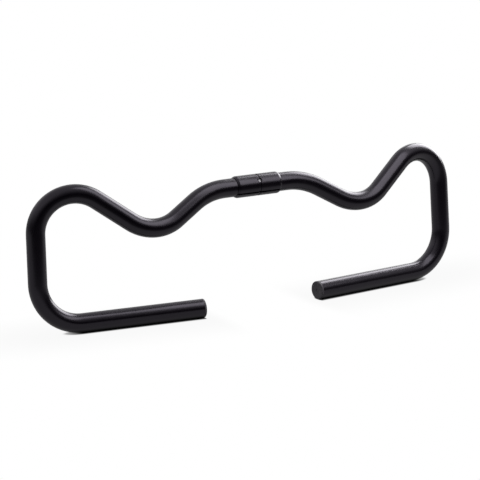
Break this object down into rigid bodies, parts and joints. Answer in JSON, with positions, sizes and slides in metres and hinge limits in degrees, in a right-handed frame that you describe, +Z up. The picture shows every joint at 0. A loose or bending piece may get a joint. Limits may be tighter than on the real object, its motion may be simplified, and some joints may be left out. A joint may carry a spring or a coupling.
{
  "type": "multi-position handlebar",
  "caption": "Bent tube handlebar with a dip and a horn on each side, low inward grips, a split clamp shim with a sight hole, and push-in end plugs.",
  "frame": {"origin": "middle of the clamp, on the axis of the tube", "axes": "+X along the clamp axis towards the right end, +Z up as the bar stands on its two grips, +Y away from the near side of the picture"},
  "size_m": [0.5752, 0.0541, 0.1737],
  "materials": {
    "bar_finish": "matt black coating",
    "shim_finish": "satin black coating",
    "plug_plastic": "moulded dark grey"
  },
  "bodies": {
    "root": {"bar_tube": "bar_finish", "clamp_shim_upper": "shim_finish", "clamp_shim_lower": "shim_finish", "end_plug_left": "plug_plastic", "end_plug_right": "plug_plastic"}
  },
  "joints": []
}
